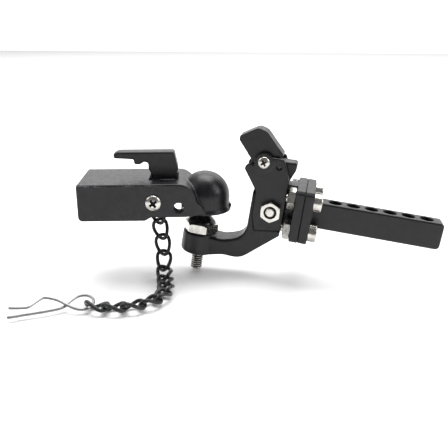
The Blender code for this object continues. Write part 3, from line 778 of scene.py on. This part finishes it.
def hook_arm():
    outline = filleted(
        [
            (-1, -11.4, 0), (7.6, -11.9, 4.0), (14.3, -9.9, 5.4),
            (14.6, 4.9, 0), (15.3, 4.9, 0), (15.3, -2.4, 2.0),
            (16.4, -7.0, 0.3), (24.3, -5.9, 0.2), (24.3, -7.6, 0.4),
            (13.7, -16.9, 5.5), (8.0, -16.7, 6.0), (4.0, -17.7, 3.0),
            (-1, -17.9, 0),
        ]
    )
    tongue = filleted(
        [
            (12.0, 11.2, 0.2), (11.5, 10.7, 0.3), (14.8, 5.6, 0.3),
            (14.8, -5.0, 0), (16.6, -8.4, 0), (22.6, -7.2, 0),
            (22.6, 8.4, 0.5), (15.9, 8.7, 1.0), (13.6, 9.9, 1.0), (12.6, 11.2, 0.2),
        ]
    )
    wall = [(4.4, -18.2), (5.3, -17.6), (5.5, -16.8), (5.25, -11.7), (5.0, -11.3)]
    boss = turned([(0, -18.3), *wall, (0, -11.3)], 64)
    drilled = evaluated(plate(tongue, -2.9, 2.9), ("DIFFERENCE", across(ARM_BOLT, -9, 9, 1.65)))
    bored = evaluated(boss, ("DIFFERENCE", rod((0, 0, -20), (0, 0, -9), 2.2)))
    beam = evaluated(plate(outline, -4.1, 4.1, 0.5), ("DIFFERENCE", rod((0, 0, -20), (0, 0, -9), 2.2)))
    mesh = cast(joined(bored, drilled, beam), voxel=0.25, rounds=5)
    piece("hook_arm_casting", mesh, HITCH, "hitch", PAINT, "hook_arm")


def flange_outline():
    top, bottom, side, corner = 8.5, -7.1, 8.8, 0.9
    return [
        (-side + corner, bottom), (side - corner, bottom), (side, bottom + corner), (side, top - corner),
        (side - corner, top), (-side + corner, top), (-side, top - corner), (-side, bottom + corner),
    ]


def screw_places():
    for y in (-5.9, 5.9):
        for z in (-3.9, 5.3):
            yield y, z


def flange_cuts(low, high):
    return [("DIFFERENCE", rod((low, y, z), (high, y, z), 1.75)) for y, z in screw_places()]


def pintle_body():
    cheek = filleted(
        [
            (11.2, 11.3, 0.6), (15.4, 5.2, 1.0), (15.4, -2.5, 2.0),
            (16.6, -6.9, 0.4), (24.6, -5.6, 0.4), (24.6, 9.6, 0.8),
            (23.3, 13.4, 1.0), (22.2, 15.7, 0.8), (19.0, 15.8, 0.5),
            (16.6, 12.4, 0.5), (14.2, 12.5, 0.4), (12.5, 13.2, 0.4),
            (11.6, 12.4, 0.5),
        ]
    )
    holes = ((ARM_BOLT, 1.65), (JAW_PIVOT, 1.3), (TRIGGER_PIVOT, 0.85))
    solids = [
        evaluated(plate(flange_outline(), 27.2, 29.9, 0.2, "YZ"), *flange_cuts(26, 31)),
        box((23.4, -2.5, -5.2), (28.7, 2.5, 8.3)),
        box((22.9, -3.7, -5.0), (24.4, 3.7, 8.6)),
    ]
    for side in (-1, 1):
        low, high = sorted((side * 3.2, side * 4.5))
        drills = [("DIFFERENCE", across(at, -9, 9, radius)) for at, radius in holes]
        solids.append(evaluated(plate(cheek, low, high, 0.2), *drills))
        low, high = sorted((side * 3.3, side * 4.75))
        lobe = across(JAW_PIVOT, low, high, 2.8)
        solids.append(evaluated(lobe, ("DIFFERENCE", across(JAW_PIVOT, -9, 9, 1.3))))
    mesh = cast(joined(*solids), voxel=0.22, rounds=2)
    piece("pintle_casting", mesh, HITCH, "hitch", PAINT, "pintle_body")


def shank():
    end, top, bottom = SHANK_END, SHANK_TOP, SHANK_BOTTOM
    bar = filleted([(31, bottom, 0), (end, bottom, 1.2), (end, top, 1.2), (31, top, 0)])
    holes = []
    for k in range(6):
        x = 38.8 + HOLE_PITCH * k
        holes.append(("DIFFERENCE", rod((x, 0, -5), (x, 0, 7), SHANK_HOLE_RADIUS)))
        rim = turned([(SHANK_HOLE_RADIUS, 0), (SHANK_HOLE_RADIUS + 0.25, 0.35)], 32)
        rim.transform(Matrix.Translation((x, 0, 4.4)))
        holes.append(("DIFFERENCE", rim))
    mesh = cast(
        plate(flange_outline(), 29.85, 32.45, 0.2, "YZ"),
        ("UNION", plate(bar, -2.95, 2.95, 0.4)),
        *holes,
        *flange_cuts(29, 34),
        voxel=0.24,
        rounds=2,
    )
    piece("shank_bar", mesh, HITCH, "hitch", MACHINED, "receiver_shank")


def upper_jaw():
    head = filleted(
        [
            (7.2, 19.3, 0.7), (12.1, 13.6, 0.4), (12.7, 12.5, 0.3),
            (14.4, 12.3, 0.3), (16.6, 13.0, 0), (19.0, 16.1, 0),
            (22.5, 16.0, 0.3), (16.2, 23.0, 2.6), (13.4, 23.7, 2.2), (7.4, 20.3, 0.7),
        ]
    )
    root = filleted(
        [
            (8.4, 19.0, 0.6), (12.7, 13.9, 0.5), (12.9, 12.4, 1.0),
            (15.0, 10.3, 1.0), (18.2, 10.8, 1.2), (19.7, 13.4, 1.0),
            (19.7, 15.9, 0.4), (22.2, 16.1, 0.4), (16.0, 22.6, 2.6), (13.4, 23.3, 2.2), (8.4, 20.2, 0.6),
        ]
    )
    notch = box((-1.3, -0.35, -0.8), (1.3, 0.35, 0.8))
    lean = Matrix.Rotation(math.radians(47), 4, "Y")
    notch.transform(Matrix.Translation((20.9, -3.2, 17.7)) @ lean)
    head_cut = evaluated(
        plate(head, -4.3, 4.3, 0.8),
        ("DIFFERENCE", across(JAW_PIVOT, -6, -2.9, 3.0)),
        ("DIFFERENCE", across(JAW_PIVOT, 2.9, 6, 3.0)),
    )
    mesh = cast(
        head_cut,
        ("UNION", plate(root, -2.9, 2.9)),
        ("DIFFERENCE", notch),
        ("DIFFERENCE", across(JAW_PIVOT, -9, 9, 1.3)),
        voxel=0.22,
        rounds=2,
    )
    piece("jaw_casting", mesh, HITCH, "upper_jaw", PAINT, "upper_jaw")


def trigger():
    outline = filleted(
        [
            (20.0, 12.2, 0.9), (22.3, 9.5, 0.5), (24.5, 9.1, 0.4),
            (25.9, 12.4, 1.0), (26.3, 15.1, 1.0), (24.0, 14.8, 0.5),
            (20.0, 14.8, 0.9),
        ]
    )
    mesh = cast(
        plate(outline, -2.6, 2.6, 0.4),
        ("DIFFERENCE", across(TRIGGER_PIVOT, -9, 9, 0.9)),
        voxel=0.2,
        rounds=3,
    )
    piece("trigger_casting", mesh, HITCH, "jaw_trigger", PAINT, "jaw_trigger")


def hitch_fasteners():
    for n, (y, z) in enumerate(screw_places(), 1):
        head = aimed(cap_head_mesh(*CAP_HEAD), (32.45, y, z), (40, y, z), 0.3 * n)
        shaft = aimed(helix(M3_THREAD, 0.5, 0.2, 7.8), (32.4, y, z), (20, y, z))
        bright_piece(f"cap_screw_{n}", joined(head, shaft), HITCH, "hitch", f"flange_screw_{n}")
        nut = aimed(hex_nut_mesh(M3_FLATS, M3_NUT_THICK, 1.6), (27.2, y, z), (20, y, z), 0.5 + 0.2 * n)
        bright_piece(f"hex_nut_{n}", nut, HITCH, "hitch", f"flange_nut_{n}")
    x, z = ARM_BOLT
    head = aimed(cap_head_mesh(*CAP_HEAD), (x, 4.6, z), (x, 9, z))
    shaft = aimed(helix(M3_THREAD, 0.5, 0.2, 11.5), (x, 4.5, z), (x, -9, z))
    bright_piece("arm_bolt_detail", joined(head, shaft), HITCH, "hitch", "arm_bolt")
    nut = aimed(hex_nut_mesh(M3_FLATS, M3_NUT_THICK, 1.6), (x, -4.6, z), (x, -9, z), 0.58)
    bright_piece("arm_nut_detail", nut, HITCH, "hitch", "arm_nut")
    x, z = JAW_PIVOT
    head = aimed(cross_head_mesh(1.75, 0.95), (x, -4.8, z), (x, -9, z))
    shaft = aimed(helix(1.0, 0.4, 0.12, 11.9), (x, -4.7, z), (x, 9, z))
    bright_piece("pivot_screw_detail", joined(head, shaft), HITCH, "hitch", "jaw_pivot_screw")
    nut = aimed(hex_nut_mesh(M3_FLATS, 2.0, 1.1), (x, 4.8, z), (x, 9, z), 0.2)
    bright_piece("pivot_nut_detail", nut, HITCH, "hitch", "jaw_pivot_nut")


def pins():
    for node in ("trigger_pin", "lever_pin"):
        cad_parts[node].material_slots[0].material = BLACK_STEEL


# ---------------------------------------------------------------- floor and light


def floor():
    """A plain level sheet."""
    low = min(CAD_BOX[0][2], CAD_BOX[1][2]) - 0.0002
    mesh = bpy.data.meshes.new("floor")
    corners = [(-1.6, -1.6), (1.6, -1.6), (1.6, 1.5), (-1.6, 1.5)]
    mesh.from_pydata([(x, y, low) for x, y in corners], [], [(0, 1, 2, 3)])
    mesh.materials.append(floor_paper())
    obj = bpy.data.objects.new("floor", mesh)
    bpy.context.scene.collection.objects.link(obj)


def light(name, place, size, power):
    made = bpy.data.lights.new(name, "AREA")
    made.shape = "RECTANGLE"
    made.size, made.size_y = size
    made.energy = power
    holder = bpy.data.objects.new(name, made)
    middle = LEVEL @ Vector((10, 0, 0))
    holder.location = middle + Vector(place)
    holder.rotation_euler = (-Vector(place)).to_track_quat("-Z", "Y").to_euler()
    bpy.context.scene.collection.objects.link(holder)


def studio():
    """Soft light from above and behind, with a dimmer room in front."""
    world = bpy.data.worlds.new("studio")
    world.use_nodes = True
    nodes, links = world.node_tree.nodes, world.node_tree.links
    way = nodes.new("ShaderNodeTexCoord")
    split = nodes.new("ShaderNodeSeparateXYZ")
    span = nodes.new("ShaderNodeMapRange")
    for socket, number in zip(("From Min", "From Max", "To Min", "To Max"), (-0.3, 0.45, 0.2, 1.1)):
        span.inputs[socket].default_value = number
    nodes["Background"].inputs["Color"].default_value = (1, 1, 1, 1)
    links.new(way.outputs["Generated"], split.inputs[0])
    links.new(split.outputs["Y"], span.inputs["Value"])
    links.new(span.outputs["Result"], nodes["Background"].inputs["Strength"])
    bpy.context.scene.world = world
    light("top_soft", (0.0, 0.25, 1.0), (0.9, 0.7), 13.0)
    light("back_soft", (0.0, 1.3, 0.9), (1.6, 0.5), 6.0)
    light("left_soft", (-0.7, -0.2, 0.5), (0.6, 0.5), 1.8)
    light("right_soft", (0.7, -0.15, 0.4), (0.25, 0.45), 2.0)
    bpy.context.scene.view_settings.view_transform = "Standard"


coupler()
lever()
coupler_hardware()
ball()
hook_arm()
pintle_body()
shank()
upper_jaw()
trigger()
hitch_fasteners()
pins()
floor()
studio()
